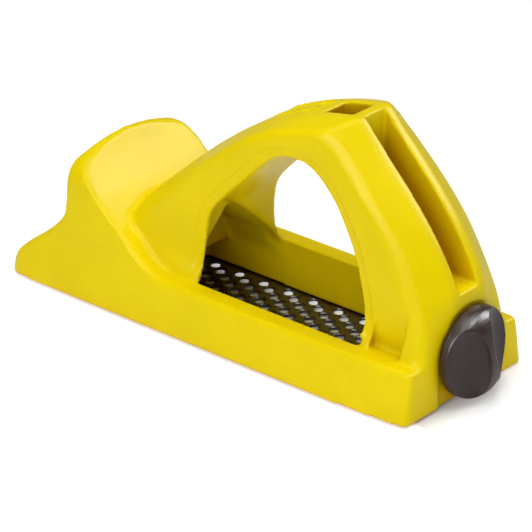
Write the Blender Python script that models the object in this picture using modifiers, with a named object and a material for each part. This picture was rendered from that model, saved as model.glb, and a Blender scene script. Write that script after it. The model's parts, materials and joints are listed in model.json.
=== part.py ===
"""Pocket plane with a perforated rasp blade, modelled as the pieces it comes apart into.

The model's X runs from the toe to the knob behind the heel, Y across the sole and Z up.
Lengths along the body are measured from the toe and heights from the sole, and the whole
model is then moved so that its origin lies under its middle, at the tips of the teeth.
"""
import math

import bmesh
import bpy
from mathutils import Matrix, Vector

MM = 0.001
GAP = 0.3 * MM                  # clearance between two pieces that touch

# Body, which is made to hold a standard blade
BLADE_LENGTH = 140.0 * MM
END_WALL = 7.5 * MM             # body beyond each end of the blade
BODY_LENGTH = BLADE_LENGTH + 2 * END_WALL
BODY_WIDTH = 57.4 * MM          # at the sole, amidships
DECK_HEIGHT = 15.4 * MM         # top of the side walls
HANDLE_HEIGHT = 78.0 * MM       # ridge of the handle
PADDLE_HEIGHT = 46.0 * MM       # top of the finger rest
HEEL_TUCK = 1.5 * MM            # each side is this much narrower at the heel
HEEL_CORNER = 0.6 * MM          # and this much more at the heel's rounded corners
SIDE_DRAFT = 2.6 * MM           # inset of each side wall at deck height
PADDLE_DRAFT = 4.4 * MM         # inset of each side at the finger rest
STRETCH_FROM = 60.0 * MM        # the body's shape stretches between these two stations
STRETCH_TO = 110.0 * MM
NOMINAL_LENGTH = 155.0 * MM     # sizes that the outlines below were drawn for
NOMINAL_WIDTH = 57.4 * MM
NOMINAL_HANDLE = 78.0 * MM
NOMINAL_PADDLE = 46.0 * MM
NOMINAL_DECK = 15.4 * MM
ROUNDING_VOXEL = 1.2 * MM       # cell size of the remesh that softens the moulding
ROUNDING_STEPS = 6              # smoothing passes, which set the size of the fillets
BODY_FACES = 0.09               # share of the remeshed faces that the solid keeps

# The handle's lines as (x, half width, z) in mm: its narrow ridge and back, its outer crests
# and the edge of the hand opening, each from the front foot up and then down the back
RIDGE_FRONT = [(38, 7.2, 28), (50, 7.2, 39.2), (60, 7.2, 48), (70, 7.2, 56.2), (80, 7.2, 63.4),
               (90, 7.2, 69.3), (100, 7.2, 73.3), (110, 7.2, 75.9), (121, 7.2, 78)]
SPINE = [(121, 7.2, 78), (127.3, 7.2, 70.8), (139.3, 7.2, 58.2), (148.2, 7.2, 47.2),
         (154.8, 7.2, 35.6), (156.3, 7.2, 27), (155.5, 7.2, 15)]
CREST_FRONT = [(38, 19.6, 22.5), (49, 18.8, 33), (59.5, 18.6, 42), (73, 18.1, 54.2),
               (83, 17.4, 62.2), (93, 17, 68), (104.6, 16.6, 72), (113, 16.2, 73.8)]
CREST_BACK = [(113, 16.2, 73.8), (117, 15.8, 72.2), (120.7, 15.4, 69.9), (125, 15.6, 66.3),
              (131.3, 16.4, 59.6), (135.8, 16.7, 54.8), (140, 16.8, 50), (143.6, 17, 45),
              (147, 17.8, 37.9), (150.1, 18.2, 31.8), (153.4, 18.9, 24.8), (155.3, 20.4, 15)]
GRIP_FRONT = [(70.6, 19.6, 15.4), (70.8, 17, 19), (71, 15.9, 26), (72.2, 15.8, 36),
              (77.6, 15.8, 43.2), (87, 15.8, 52.4), (94, 15.7, 59.3), (100, 15.6, 62.6)]
GRIP_BACK = [(100, 15.6, 62.6), (107, 15.5, 63), (113, 15.7, 60.6), (119, 16, 54.8),
             (124.6, 16.2, 46.2), (128.8, 16.6, 36.4), (131.8, 17.4, 25), (133, 19.6, 15.4)]
LINE_STATIONS = 40              # even steps that each of those lines is divided into
SLOT_FOOT = (155.4, 7.2, 33)    # lower end of the slot, on the line of the spine

# Openings and pockets of the body
WINDOW_HALF = 19.8 * MM         # half width of the chip window at the deck
WINDOW_TAPER = 1.8 * MM         # the window is this much narrower each side at the blade
WINDOW_REAR = 133.0 * MM
RAMP_HOLLOW_FRONT = 40.0 * MM   # low hollow under the ramp, ahead of the window
VAULT_FRONT = 50.0 * MM         # taller hollow under the front leg of the handle
VAULT_REAR = 74.0 * MM
VAULT_EAVES = 10.5 * MM
VAULT_RIDGE = 33.0 * MM
SLOT_HALF = 4.4 * MM            # slot down the back of the handle
SLOT_DEPTH = 12.0 * MM
TOP_POCKET_HALF = 4.8 * MM
TOP_POCKET_LENGTH = 10.5 * MM
TOP_POCKET_DEPTH = 9.0 * MM
RIDGE_WALL = 4.0 * MM           # wall between the top pocket and the slot
FOOT_POCKET_FRONT = 135.6 * MM
FOOT_POCKET_LENGTH = 11.4 * MM
FOOT_POCKET_HALF = 16.6 * MM    # half distance between the floors of the foot pockets

# Rasp blade
BLADE_WIDTH = 42.0 * MM
BLADE_SHEET = 1.2 * MM          # sheet and teeth together
BLADE_DROP = 0.7 * MM           # how far the teeth stand below the sole
TAB_SHEET = 0.8 * MM
TAB_WIDTH = 14.0 * MM
TAB_HEIGHT = 5.0 * MM
FLANGE_HEIGHT = 3.0 * MM
FLANGE_END = 4.0 * MM           # the turned-up edges stop short of the corners
HOLE_DIAMETER = 3.2 * MM
HOLE_PITCH = 9.85 * MM
ROW_PITCH = 2.45 * MM
ROW_SHIFT = 4.1 * MM
HOLE_MARGIN = 3.4 * MM          # blade edge to the first row of holes
END_MARGIN = 6.0 * MM

# Toe pin
PIN_DIAMETER = 3.0 * MM
PIN_LENGTH = 34.0 * MM

# Tensioner
STUD_DIAMETER = 5.0 * MM
STUD_ROOT = 5.0 * MM            # length of the stud that is moulded into the knob
HEEL_WALL = 4.0 * MM
TENSION_TRAVEL = 3.0 * MM
HOOK_SHEET = 1.6 * MM
CLAW_HEIGHT = 2.0 * MM          # underside of the claw above the blade
TAKE_UP = 1.2 * MM              # room behind the hook when the blade is tight
NUT_WIDTH = 1.6 * STUD_DIAMETER
NUT_THICKNESS = 3.2 * MM
HOOK_WIDTH = NUT_WIDTH + 7.0 * MM
WASHER_DIAMETER = 2.6 * STUD_DIAMETER
WASHER_THICKNESS = 0.8 * MM

# Knob
KNOB_DIAMETER = 27.4 * MM
KNOB_RIM = 2.6 * MM
KNOB_HEIGHT = 9.4 * MM
KNOB_WING = 6.0 * MM            # thickness of the wing at its waist
KNOB_RADIUS = KNOB_DIAMETER / 2
KNOB_LIFT = 1.1 * MM            # the knob's rim clears the sole by this much
AXIS_HEIGHT = KNOB_RADIUS + KNOB_LIFT
RECESS_HALF = KNOB_RADIUS - 1.9 * MM
RECESS_DEPTH = 0.8 * MM

# Places that follow from the sizes above
HALF_WIDTH = BODY_WIDTH / 2
HEEL_FACE = BODY_LENGTH + 0.5 * MM
BLADE_HALF = BLADE_WIDTH / 2
BLADE_TOP = BLADE_SHEET - BLADE_DROP
BLADE_FRONT = (BODY_LENGTH - BLADE_LENGTH) / 2
BLADE_REAR = BLADE_FRONT + BLADE_LENGTH
TAB_TOP = BLADE_TOP + TAB_HEIGHT
PIN_X = BLADE_FRONT + TAB_SHEET + GAP + PIN_DIAMETER / 2
PIN_Z = BLADE_TOP + PIN_DIAMETER / 2 + 0.8 * MM
CHANNEL_REAR = HEEL_FACE - HEEL_WALL
HOOK_BACK = CHANNEL_REAR - TAKE_UP
NUT_REAR = HOOK_BACK - HOOK_SHEET - GAP
NUT_FRONT = NUT_REAR - NUT_THICKNESS
STUD_TIP = NUT_FRONT - TENSION_TRAVEL - 0.6 * MM
CHANNEL_FRONT = STUD_TIP - 1.0 * MM
CHANNEL_TOP = AXIS_HEIGHT + NUT_WIDTH / 2 + 2.4 * MM
WASHER_FRONT = HEEL_FACE - RECESS_DEPTH + GAP
KNOB_BACK = WASHER_FRONT + WASHER_THICKNESS + GAP
KNOB_END = KNOB_BACK + KNOB_HEIGHT
ORIGIN = Vector((KNOB_END / 2, 0.0, -BLADE_DROP))

YELLOW = (0.78, 0.62, 0.01)
DARK_PLASTIC = (0.045, 0.028, 0.028)
BLACK_STEEL = (0.03, 0.025, 0.027)
ZINC = (0.55, 0.55, 0.57)


def clear_scene():
    for item in list(bpy.data.objects):
        bpy.data.objects.remove(item, do_unlink=True)


def new_collection(name):
    collection = bpy.data.collections.new(name)
    bpy.context.scene.collection.children.link(collection)
    return collection


def new_material(name, colour, roughness, metallic=0.0):
    material = bpy.data.materials.new(name)
    material.use_nodes = True
    shader = material.node_tree.nodes["Principled BSDF"]
    shader.inputs["Base Color"].default_value = (*colour, 1.0)
    shader.inputs["Roughness"].default_value = roughness
    shader.inputs["Metallic"].default_value = metallic
    material.diffuse_color = (*colour, 1.0)
    return material


clear_scene()
PARTS = new_collection("pocket_plane")
CUTTERS = new_collection("cutters")


def add_object(name, mesh, collection):
    item = bpy.data.objects.new(name, mesh)
    collection.objects.link(item)
    return item


def finish_bmesh(name, shape, collection):
    bmesh.ops.recalc_face_normals(shape, faces=shape.faces)
    mesh = bpy.data.meshes.new(name)
    shape.to_mesh(mesh)
    shape.free()
    return add_object(name, mesh, collection)


def cutter(item):
    """Marks an object that only shapes others."""
    item.hide_render = True
    item.display_type = "WIRE"
    return item


def box(name, low, high, collection=None):
    """A box between two corners."""
    shape = bmesh.new()
    bmesh.ops.create_cube(shape, size=1.0)
    low, high = Vector(low), Vector(high)
    place = Matrix.Translation((low + high) / 2) @ Matrix.Diagonal((*(high - low), 1.0))
    bmesh.ops.transform(shape, verts=shape.verts, matrix=place)
    return finish_bmesh(name, shape, collection or CUTTERS)


def rod(name, diameter, start, end, axis, sides=24, collection=None):
    """A cylinder between two points along one axis."""
    shape = bmesh.new()
    start, end = Vector(start), Vector(end)
    bmesh.ops.create_cone(shape, cap_ends=True, segments=sides, radius1=diameter / 2,
                          radius2=diameter / 2, depth=(end - start).length)
    turn = Vector((0, 0, 1)).rotation_difference(Vector(axis)).to_matrix().to_4x4()
    place = Matrix.Translation((start + end) / 2) @ turn
    bmesh.ops.transform(shape, verts=shape.verts, matrix=place)
    return finish_bmesh(name, shape, collection or CUTTERS)


def slab(name, outline, half_width, collection=None):
    """A flat outline in the XZ plane, given as (x, z) points, thick in Y."""
    curve = bpy.data.curves.new(name, "CURVE")
    curve.dimensions = "2D"
    curve.fill_mode = "BOTH"
    curve.extrude = half_width
    spline = curve.splines.new("POLY")
    spline.points.add(len(outline) - 1)
    for point, (x, z) in zip(spline.points, outline):
        point.co = (x, z, 0.0, 1.0)
    spline.use_cyclic_u = True
    drawn = add_object(name + "_outline", curve, CUTTERS)
    drawn.matrix_world = Matrix.Rotation(math.radians(90), 4, "X")
    bpy.context.view_layer.update()
    evaluated = drawn.evaluated_get(bpy.context.evaluated_depsgraph_get())
    mesh = bpy.data.meshes.new_from_object(evaluated)
    mesh.transform(drawn.matrix_world)
    bpy.data.objects.remove(drawn)
    shape = bmesh.new()
    shape.from_mesh(mesh)
    bmesh.ops.remove_doubles(shape, verts=shape.verts, dist=1e-6)
    return finish_bmesh(name, shape, collection or CUTTERS)


def boolean(item, other, operation):
    """Applies one exact Boolean and clears the other object away."""
    modifier = item.modifiers.new(operation.lower(), "BOOLEAN")
    modifier.operation = operation
    modifier.object = other
    modifier.solver = "EXACT"
    apply_modifiers(item)
    bpy.data.objects.remove(other)
    return item


def apply_modifiers(item):
    bpy.context.view_layer.update()
    evaluated = item.evaluated_get(bpy.context.evaluated_depsgraph_get())
    mesh = bpy.data.meshes.new_from_object(evaluated)
    item.modifiers.clear()
    item.data = mesh


def spline_through(points, steps=6):
    """A smooth open line through the given points (Catmull-Rom)."""
    padded = [points[0], *points, points[-1]]
    line = []
    for a, b, c, d in zip(padded, padded[1:], padded[2:], padded[3:]):
        for step in range(steps):
            t = step / steps
            line.append(tuple(
                0.5 * (2 * q + (r - p) * t + (2 * p - 5 * q + 4 * r - s) * t * t
                       + (3 * q - p - 3 * r + s) * t ** 3)
                for p, q, r, s in zip(a, b, c, d)))
    return line + [points[-1]]


def lengthwise(x):
    """Moves a station of the nominal body along with BODY_LENGTH."""
    extra = BODY_LENGTH - NOMINAL_LENGTH
    share = min(max((x - STRETCH_FROM) / (STRETCH_TO - STRETCH_FROM), 0.0), 1.0)
    return x + extra * share


def handle_point(x, half, z):
    """A point of the handle's lines, in mm, moved along with the driving sizes."""
    rise = (HANDLE_HEIGHT - DECK_HEIGHT) / (NOMINAL_HANDLE - NOMINAL_DECK)
    return (lengthwise(x * MM), half * MM * BODY_WIDTH / NOMINAL_WIDTH,
            DECK_HEIGHT + (z * MM - NOMINAL_DECK) * rise)


def side_view(line):
    """A smooth side view of one of the handle's lines."""
    return [(x, z) for x, _, z in spline_through([handle_point(*point) for point in line])]


def base_point(x, z):
    """A point of the base's side view, in mm, moved along with the driving sizes."""
    height = z * MM
    if height > NOMINAL_DECK:
        rise = (PADDLE_HEIGHT - DECK_HEIGHT) / (NOMINAL_PADDLE - NOMINAL_DECK)
        height = DECK_HEIGHT + (height - NOMINAL_DECK) * rise
    else:
        height *= DECK_HEIGHT / NOMINAL_DECK
    return lengthwise(x * MM), height


def half_width_at(x):
    """Half width of the sole: rounded at the toe, tucked in at the heel."""
    toe = 2.6 * MM * max(1 - x / (5.0 * MM), 0.0) ** 2 + 0.5 * MM * max(1 - x / (30.0 * MM), 0.0)
    back = max((x - BODY_LENGTH + 45.0 * MM) / (45.0 * MM), 0.0)
    return HALF_WIDTH - toe - HEEL_TUCK * back ** 2


def inset_at(z):
    """How far the drafted sides lean in at a height."""
    if z < DECK_HEIGHT:
        return SIDE_DRAFT * z / DECK_HEIGHT
    share = (z - DECK_HEIGHT) / (PADDLE_HEIGHT - DECK_HEIGHT)
    return SIDE_DRAFT + (PADDLE_DRAFT - SIDE_DRAFT) * share


def plan_block():
    """The base's plan outline, lofted upwards with the draft of its sides."""
    stations = [lengthwise(x * MM)
                for x in (0, 0.6, 1.6, 3, 5, 12, 30, 60, 100, 120, 132, 142, 150)]
    stations += [BODY_LENGTH - 1.0 * MM, HEEL_FACE]
    levels = [-8.0 * MM, 0.0, DECK_HEIGHT, PADDLE_HEIGHT, PADDLE_HEIGHT + 3 * MM]
    shape = bmesh.new()
    rings = []
    for z in levels:
        half = [half_width_at(x) - inset_at(z) for x in stations]
        half[-1] -= HEEL_CORNER
        ring = [shape.verts.new((x, -y, z)) for x, y in zip(stations, half)]
        ring += [shape.verts.new((x, y, z)) for x, y in reversed(list(zip(stations, half)))]
        rings.append(ring)
    count = len(rings[0])
    for low, high in zip(rings, rings[1:]):
        for i in range(count):
            j = (i + 1) % count
            shape.faces.new((low[i], low[j], high[j], high[i]))
    shape.faces.new(rings[0])
    shape.faces.new(rings[-1])
    return finish_bmesh("plan_block", shape, CUTTERS)


def base_profile():
    """Side view of the base: toe, finger rest, its ramp, the deck and the heel."""
    toe = spline_through([base_point(*p) for p in
                          ((0.0, 0.0), (0.5, 3.4), (2.2, 6.6), (5.2, 9.6), (8.0, 12.0),
                           (13.4, 16.0), (18.7, 20.6), (21.6, 24.4), (22.4, 30.0))])
    paddle = spline_through([base_point(*p) for p in ((22.4, 30.0), (22.6, 36.0), (23.2, 46.5))])
    ramp = spline_through([base_point(*p) for p in
                           ((24.8, 46.5), (27.8, 42.2), (31.6, 37.5), (36.2, 32.7),
                            (46.3, 24.6), (53.0, 18.7), (60.0, 15.6), (68.0, 15.4))])
    heel = [base_point(150.0, 15.4), (HEEL_FACE - 0.4 * MM, DECK_HEIGHT), (HEEL_FACE, 0.0)]
    return toe[:-1] + paddle + ramp + heel + [(HEEL_FACE, -8 * MM), (0.0, -8 * MM)]


def paddle_arch():
    """Front view of the finger rest: an arch with rounded corners, long in X."""
    half = HALF_WIDTH - PADDLE_DRAFT
    right = [(half - inward * MM, PADDLE_HEIGHT - down * MM) for inward, down in
             ((0, 8.5), (1.2, 6.0), (3.8, 4.0), (9.0, 2.4), (15.0, 1.0))]
    right.append((0.0, PADDLE_HEIGHT))
    arch = spline_through(right)
    wide = HALF_WIDTH + 5 * MM
    outline = [(wide, -9 * MM), (wide, PADDLE_HEIGHT - 12 * MM),
               (half + 0.6 * MM, PADDLE_HEIGHT - 10 * MM)]
    return across("paddle_arch", mirrored(outline + arch), -BODY_LENGTH, 2 * BODY_LENGTH)


def base_block():
    block = plan_block()
    boolean(block, slab("base_profile", base_profile(), BODY_WIDTH), "INTERSECT")
    return boolean(block, paddle_arch(), "INTERSECT")


def resample(line, count):
    """Points at even steps along a line of points."""
    line = [Vector(point) for point in line]
    reach = [0.0]
    for a, b in zip(line, line[1:]):
        reach.append(reach[-1] + (b - a).length)
    points = []
    at = 0
    for step in range(count):
        wanted = reach[-1] * step / (count - 1)
        while at < len(line) - 2 and reach[at + 1] < wanted:
            at += 1
        share = (wanted - reach[at]) / (reach[at + 1] - reach[at])
        points.append(line[at].lerp(line[at + 1], share))
    return points


def handle_ring(front, back, foot):
    """One closed line of the handle, joined through the base at the height of its foot."""
    ring = []
    for line in (front, back):
        smooth = spline_through([handle_point(*point) for point in line])
        ring += resample(smooth, LINE_STATIONS)[len(ring) > 0:]
    first, last = ring[0], ring[-1]
    return ring + [Vector((last.x, last.y, foot)), Vector((first.x, first.y, foot))]


def handle_block():
    """The handle before its opening is cut: a loft from its ridge over its crests to its sides."""
    foot = DECK_HEIGHT - 6 * MM
    ridge = handle_ring(RIDGE_FRONT, SPINE, foot)
    crest = handle_ring(CREST_FRONT, CREST_BACK, foot)
    grip = handle_ring(GRIP_FRONT, GRIP_BACK, foot + 3 * MM)
    near = [[Vector((x, -y, z)) for x, y, z in ring] for ring in (grip, crest, ridge)]
    shape = bmesh.new()
    rings = [[shape.verts.new(point) for point in ring] for ring in near + [ridge, crest, grip]]
    count = len(ridge)
    for first, second in zip(rings, rings[1:]):
        for i in range(count):
            j = (i + 1) % count
            shape.faces.new((first[i], first[j], second[j], second[i]))
    shape.faces.new(rings[0])
    shape.faces.new(rings[-1])
    bmesh.ops.triangulate(shape, faces=shape.faces)
    return finish_bmesh("handle_block", shape, CUTTERS)


def across(name, outline, start, end):
    """A flat outline in the YZ plane, as (y, z) points, that runs in X from start to end."""
    item = slab(name, outline, (end - start) / 2)
    item.data.transform(Matrix.Rotation(math.radians(90), 4, "Z"))
    item.data.transform(Matrix.Translation(((start + end) / 2, 0, 0)))
    return item


def mirrored(points):
    """A symmetric (y, z) outline from the points of its +Y half, bottom to top."""
    return points + [(-y, z) for y, z in reversed(points) if y > 0]


def window_cutters():
    """The chip window, the low hollow ahead of it and the vault under the front leg."""
    deep = -12 * MM
    top = DECK_HEIGHT + 4 * MM
    foot = WINDOW_HALF - WINDOW_TAPER
    vault_rear = lengthwise(VAULT_REAR)
    slope = WINDOW_TAPER / DECK_HEIGHT
    tall = mirrored([(foot, deep), (foot, 0.0), (foot + slope * top, top)])
    window = across("window", tall, vault_rear - 4 * MM, lengthwise(WINDOW_REAR))
    eaves = VAULT_EAVES * 0.9
    low = mirrored([(foot - 0.1 * MM, deep + 1 * MM), (foot + slope * eaves, eaves)])
    hollow = across("ramp_hollow", low, lengthwise(RAMP_HOLLOW_FRONT), vault_rear - 2 * MM)
    tent = mirrored([(foot + 0.1 * MM, deep + 2 * MM), (WINDOW_HALF - 0.6 * MM, VAULT_EAVES),
                     (WINDOW_HALF - 4.4 * MM, VAULT_EAVES + 8.0 * MM), (0.0, VAULT_RIDGE)])
    vault = across("vault", tent, lengthwise(VAULT_FRONT), vault_rear)
    return [window, hollow, vault]


def soften(item):
    """Rounds the crisp solid: remesh it finely, smooth it, then thin the faces out."""
    remesh = item.modifiers.new("remesh", "REMESH")
    remesh.mode = "VOXEL"
    remesh.voxel_size = ROUNDING_VOXEL
    smooth = item.modifiers.new("smooth", "SMOOTH")
    smooth.factor = 0.5
    smooth.iterations = ROUNDING_STEPS
    thin = item.modifiers.new("thin", "DECIMATE")
    thin.ratio = BODY_FACES
    thin.use_collapse_triangulate = True
    apply_modifiers(item)


def moulding():
    """The softened body before its crisp pockets are cut."""
    block = base_block()
    boolean(block, handle_block(), "UNION")
    grip = slab("grip_opening", side_view(GRIP_FRONT[:-1] + GRIP_BACK), BODY_WIDTH)
    boolean(block, grip, "DIFFERENCE")
    for tool in window_cutters():
        boolean(block, tool, "DIFFERENCE")
    soften(block)
    return block


def toe_cutters():
    """Room for the blade's front tab and its pin, and the hollow inside the finger rest."""
    room = TAB_WIDTH / 2 + 1.0 * MM
    pocket = box("toe_pocket", (BLADE_FRONT - 1.5 * MM, -room, -5 * MM),
                 (PIN_X + PIN_DIAMETER / 2 + 2 * MM, room, TAB_TOP + 1 * MM))
    saddle = PIN_DIAMETER / 2 + GAP
    reach = PIN_LENGTH / 2 + GAP
    slot = box("pin_slot", (PIN_X - saddle, -reach, -5.5 * MM),
               (PIN_X + saddle, reach, PIN_Z + saddle))
    foot = WINDOW_HALF - WINDOW_TAPER - 0.4 * MM
    rest = slab("rest_hollow", [base_point(*p) for p in
                                ((17.0, -9.0), (17.5, 13.0), (26.0, 21.0), (26.6, 31.0),
                                 (28.6, 31.5), (37.0, 24.0), (37.0, -9.0))], foot)
    return [pocket, slot, rest]


def blade_seat_cutters():
    """A shallow rebate for the sheet, and the two grooves for its turned-up edges."""
    front, rear = BLADE_FRONT - GAP, BLADE_REAR + GAP
    edge = BLADE_HALF + GAP
    seat = box("seat", (front, -edge, -6 * MM), (rear, edge, BLADE_TOP + GAP))
    inner = BLADE_HALF - TAB_SHEET - GAP
    top = BLADE_TOP + FLANGE_HEIGHT + GAP
    grooves = [box("groove", (front, min(side * inner, side * edge), -6.5 * MM),
                   (rear, max(side * inner, side * edge), top)) for side in (-1, 1)]
    return [seat, *grooves]


def heel_cutters():
    """The hook's channel, the stud's bore and the shallow recess behind the knob."""
    room = HOOK_WIDTH / 2 + 0.5 * MM
    channel = box("channel", (CHANNEL_FRONT, -room, -7 * MM), (CHANNEL_REAR, room, CHANNEL_TOP))
    bore = rod("stud_bore", STUD_DIAMETER + 3 * GAP, (CHANNEL_REAR - 2 * MM, 0, AXIS_HEIGHT),
               (HEEL_FACE + 5 * MM, 0, AXIS_HEIGHT), (1, 0, 0))
    floor = HEEL_FACE - RECESS_DEPTH
    lower = box("recess", (floor, -RECESS_HALF, -8 * MM),
                (HEEL_FACE + 6 * MM, RECESS_HALF, AXIS_HEIGHT))
    upper = rod("recess_top", 2 * RECESS_HALF, (floor, 0, AXIS_HEIGHT),
                (HEEL_FACE + 6.5 * MM, 0, AXIS_HEIGHT), (1, 0, 0), sides=48)
    sweep = rod("knob_sweep", KNOB_DIAMETER + 1.2 * MM, (KNOB_BACK - GAP, 0, AXIS_HEIGHT),
                (KNOB_END + 5 * MM, 0, AXIS_HEIGHT), (1, 0, 0), sides=48)
    return [channel, bore, lower, upper, sweep]


def slot_cutter():
    """The slot follows the back of the handle at a constant depth."""
    line = [Vector(point) for point in side_view(SPINE[:4] + [SLOT_FOOT])][::2]
    top, foot = line[0], line[-1]
    inner = []
    for before, after in zip(line, line[2:]):
        along = (after - before).normalized()
        point = (before + after) / 2 - SLOT_DEPTH * Vector((-along.y, along.x))
        if point.x > top.x and point.y > foot.y:
            inner.append(tuple(point))
    clear = 8 * MM
    outer = [(top.x, top.y + clear), (top.x + 4 * clear, top.y + clear),
             (foot.x + 4 * clear, foot.y)]
    ends = [(top.x, inner[0][1]), *inner, (inner[-1][0], foot.y)]
    return slab("spine_slot", outer + ends[::-1], SLOT_HALF)


def top_pocket_cutter():
    """The short pocket in the top of the handle, just ahead of the ridge."""
    rear, _, top = handle_point(*SPINE[0])
    rear -= RIDGE_WALL
    front = rear - TOP_POCKET_LENGTH
    floor = top - TOP_POCKET_DEPTH
    above = top + 5 * MM
    outline = [(front, above), (front, floor - TOP_POCKET_LENGTH / 4), (rear, floor), (rear, above)]
    return slab("top_pocket", outline, TOP_POCKET_HALF)


def foot_pocket_cutters():
    """The pocket on each side of the rear foot, whose floor fades into the side above it."""
    front = lengthwise(FOOT_POCKET_FRONT)
    rear = front + FOOT_POCKET_LENGTH
    tall = DECK_HEIGHT + 14 * MM
    outline = [(front, DECK_HEIGHT), (rear, DECK_HEIGHT), (rear + 1 * MM, tall),
               (front + 2 * MM, tall)]
    tools = []
    for side in (-1, 1):
        tool = slab("foot_pocket", outline, HALF_WIDTH / 2)
        tool.data.transform(Matrix.Translation((0, side * (FOOT_POCKET_HALF + HALF_WIDTH / 2), 0)))
        tools.append(tool)
    return tools


def build_body():
    body = moulding()
    reach = BODY_LENGTH
    boolean(body, box("sole_cut", (-reach, -reach, -20 * MM), (2 * reach, reach, 0.0)), "DIFFERENCE")
    tools = toe_cutters() + blade_seat_cutters() + heel_cutters() + foot_pocket_cutters()
    for tool in tools + [slot_cutter(), top_pocket_cutter()]:
        boolean(body, tool, "DIFFERENCE")
    return give(body, "body", YELLOW_PLASTIC)


def give(item, name, material):
    """Names a finished piece, gives it its material and files it with the parts."""
    item.name = name
    item.data.name = name
    item.data.materials.clear()
    item.data.materials.append(material)
    if item.name not in PARTS.objects:
        CUTTERS.objects.unlink(item)
        PARTS.objects.link(item)
    item.data.shade_smooth()
    item.data.set_sharp_from_angle(angle=math.radians(35))
    return item


def hole_cutters():
    """One mesh of six-sided prisms on the blade's staggered rows of holes."""
    shape = bmesh.new()
    rows = int((BLADE_WIDTH - 2 * HOLE_MARGIN) / ROW_PITCH)
    first_y = rows * ROW_PITCH / 2
    start, stop = BLADE_FRONT + END_MARGIN + TAB_HEIGHT, BLADE_REAR - END_MARGIN - TAB_HEIGHT
    for row in range(rows + 1):
        y = first_y - row * ROW_PITCH
        x = start + (row * ROW_SHIFT) % HOLE_PITCH
        while x <= stop:
            place = Matrix.Translation((x, y, 0.0))
            bmesh.ops.create_cone(shape, cap_ends=True, segments=6, radius1=HOLE_DIAMETER / 2,
                                  radius2=HOLE_DIAMETER / 2, depth=8 * MM, matrix=place)
            x += HOLE_PITCH
    return finish_bmesh("holes", shape, CUTTERS)


def build_blade():
    """The perforated sheet, with its edges and both end tabs turned up."""
    bottom = -BLADE_DROP
    blade = box("sheet", (BLADE_FRONT, -BLADE_HALF, bottom), (BLADE_REAR, BLADE_HALF, BLADE_TOP))
    boolean(blade, hole_cutters(), "DIFFERENCE")
    root = BLADE_TOP - 0.4 * MM
    flange_top = BLADE_TOP + FLANGE_HEIGHT
    for side in (-1, 1):
        low, high = sorted((side * BLADE_HALF, side * (BLADE_HALF - TAB_SHEET)))
        flange = box("flange", (BLADE_FRONT + FLANGE_END, low, root),
                     (BLADE_REAR - FLANGE_END, high, flange_top))
        boolean(blade, flange, "UNION")
    for x in (BLADE_FRONT, BLADE_REAR - TAB_SHEET):
        tab = box("tab", (x, -TAB_WIDTH / 2, root), (x + TAB_SHEET, TAB_WIDTH / 2, TAB_TOP))
        boolean(blade, tab, "UNION")
    return give(blade, "rasp_blade", BLACK_BLADE)


def build_toe_pin():
    half = PIN_LENGTH / 2
    pin = rod("pin", PIN_DIAMETER, (PIN_X, -half, PIN_Z), (PIN_X, half, PIN_Z), (0, 1, 0))
    return give(pin, "toe_pin", ZINC_STEEL)


def build_hook():
    """A strap of steel: plate for the nut, arm over the blade's tab, claw in front of it."""
    arm = TAB_TOP + GAP
    plate_front = HOOK_BACK - HOOK_SHEET
    claw_rear = BLADE_REAR - TAB_SHEET - GAP
    top = AXIS_HEIGHT + NUT_WIDTH / 2 + 1.2 * MM
    outline = [(HOOK_BACK, arm), (HOOK_BACK, top), (plate_front, top), (plate_front, arm + HOOK_SHEET),
               (claw_rear - HOOK_SHEET, arm + HOOK_SHEET), (claw_rear - HOOK_SHEET, BLADE_TOP + CLAW_HEIGHT),
               (claw_rear, BLADE_TOP + CLAW_HEIGHT), (claw_rear, arm)]
    hook = slab("hook", outline, HOOK_WIDTH / 2)
    hole = rod("hook_hole", STUD_DIAMETER + 2 * GAP, (HOOK_BACK - 5 * MM, 0, AXIS_HEIGHT),
               (HOOK_BACK + 5 * MM, 0, AXIS_HEIGHT), (1, 0, 0))
    boolean(hook, hole, "DIFFERENCE")
    return give(hook, "tension_hook", ZINC_STEEL)


def build_nut():
    half = NUT_WIDTH / 2
    nut = box("nut", (NUT_FRONT, -half, AXIS_HEIGHT - half), (NUT_REAR, half, AXIS_HEIGHT + half))
    bore = rod("nut_bore", STUD_DIAMETER + 2 * GAP, (NUT_FRONT - 5 * MM, 0, AXIS_HEIGHT),
               (NUT_REAR + 5 * MM, 0, AXIS_HEIGHT), (1, 0, 0))
    boolean(nut, bore, "DIFFERENCE")
    return give(nut, "square_nut", ZINC_STEEL)


def build_stud():
    stud = rod("stud", STUD_DIAMETER, (STUD_TIP, 0, AXIS_HEIGHT),
               (KNOB_BACK + STUD_ROOT, 0, AXIS_HEIGHT), (1, 0, 0))
    return give(stud, "tension_stud", ZINC_STEEL)


def build_washer():
    washer = rod("washer", WASHER_DIAMETER, (WASHER_FRONT, 0, AXIS_HEIGHT),
                 (WASHER_FRONT + WASHER_THICKNESS, 0, AXIS_HEIGHT), (1, 0, 0), sides=32)
    bore = rod("washer_bore", STUD_DIAMETER + 2 * GAP, (WASHER_FRONT - 5 * MM, 0, AXIS_HEIGHT),
               (WASHER_FRONT + 5 * MM, 0, AXIS_HEIGHT), (1, 0, 0))
    boolean(washer, bore, "DIFFERENCE")
    return give(washer, "thrust_washer", ZINC_STEEL)


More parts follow.
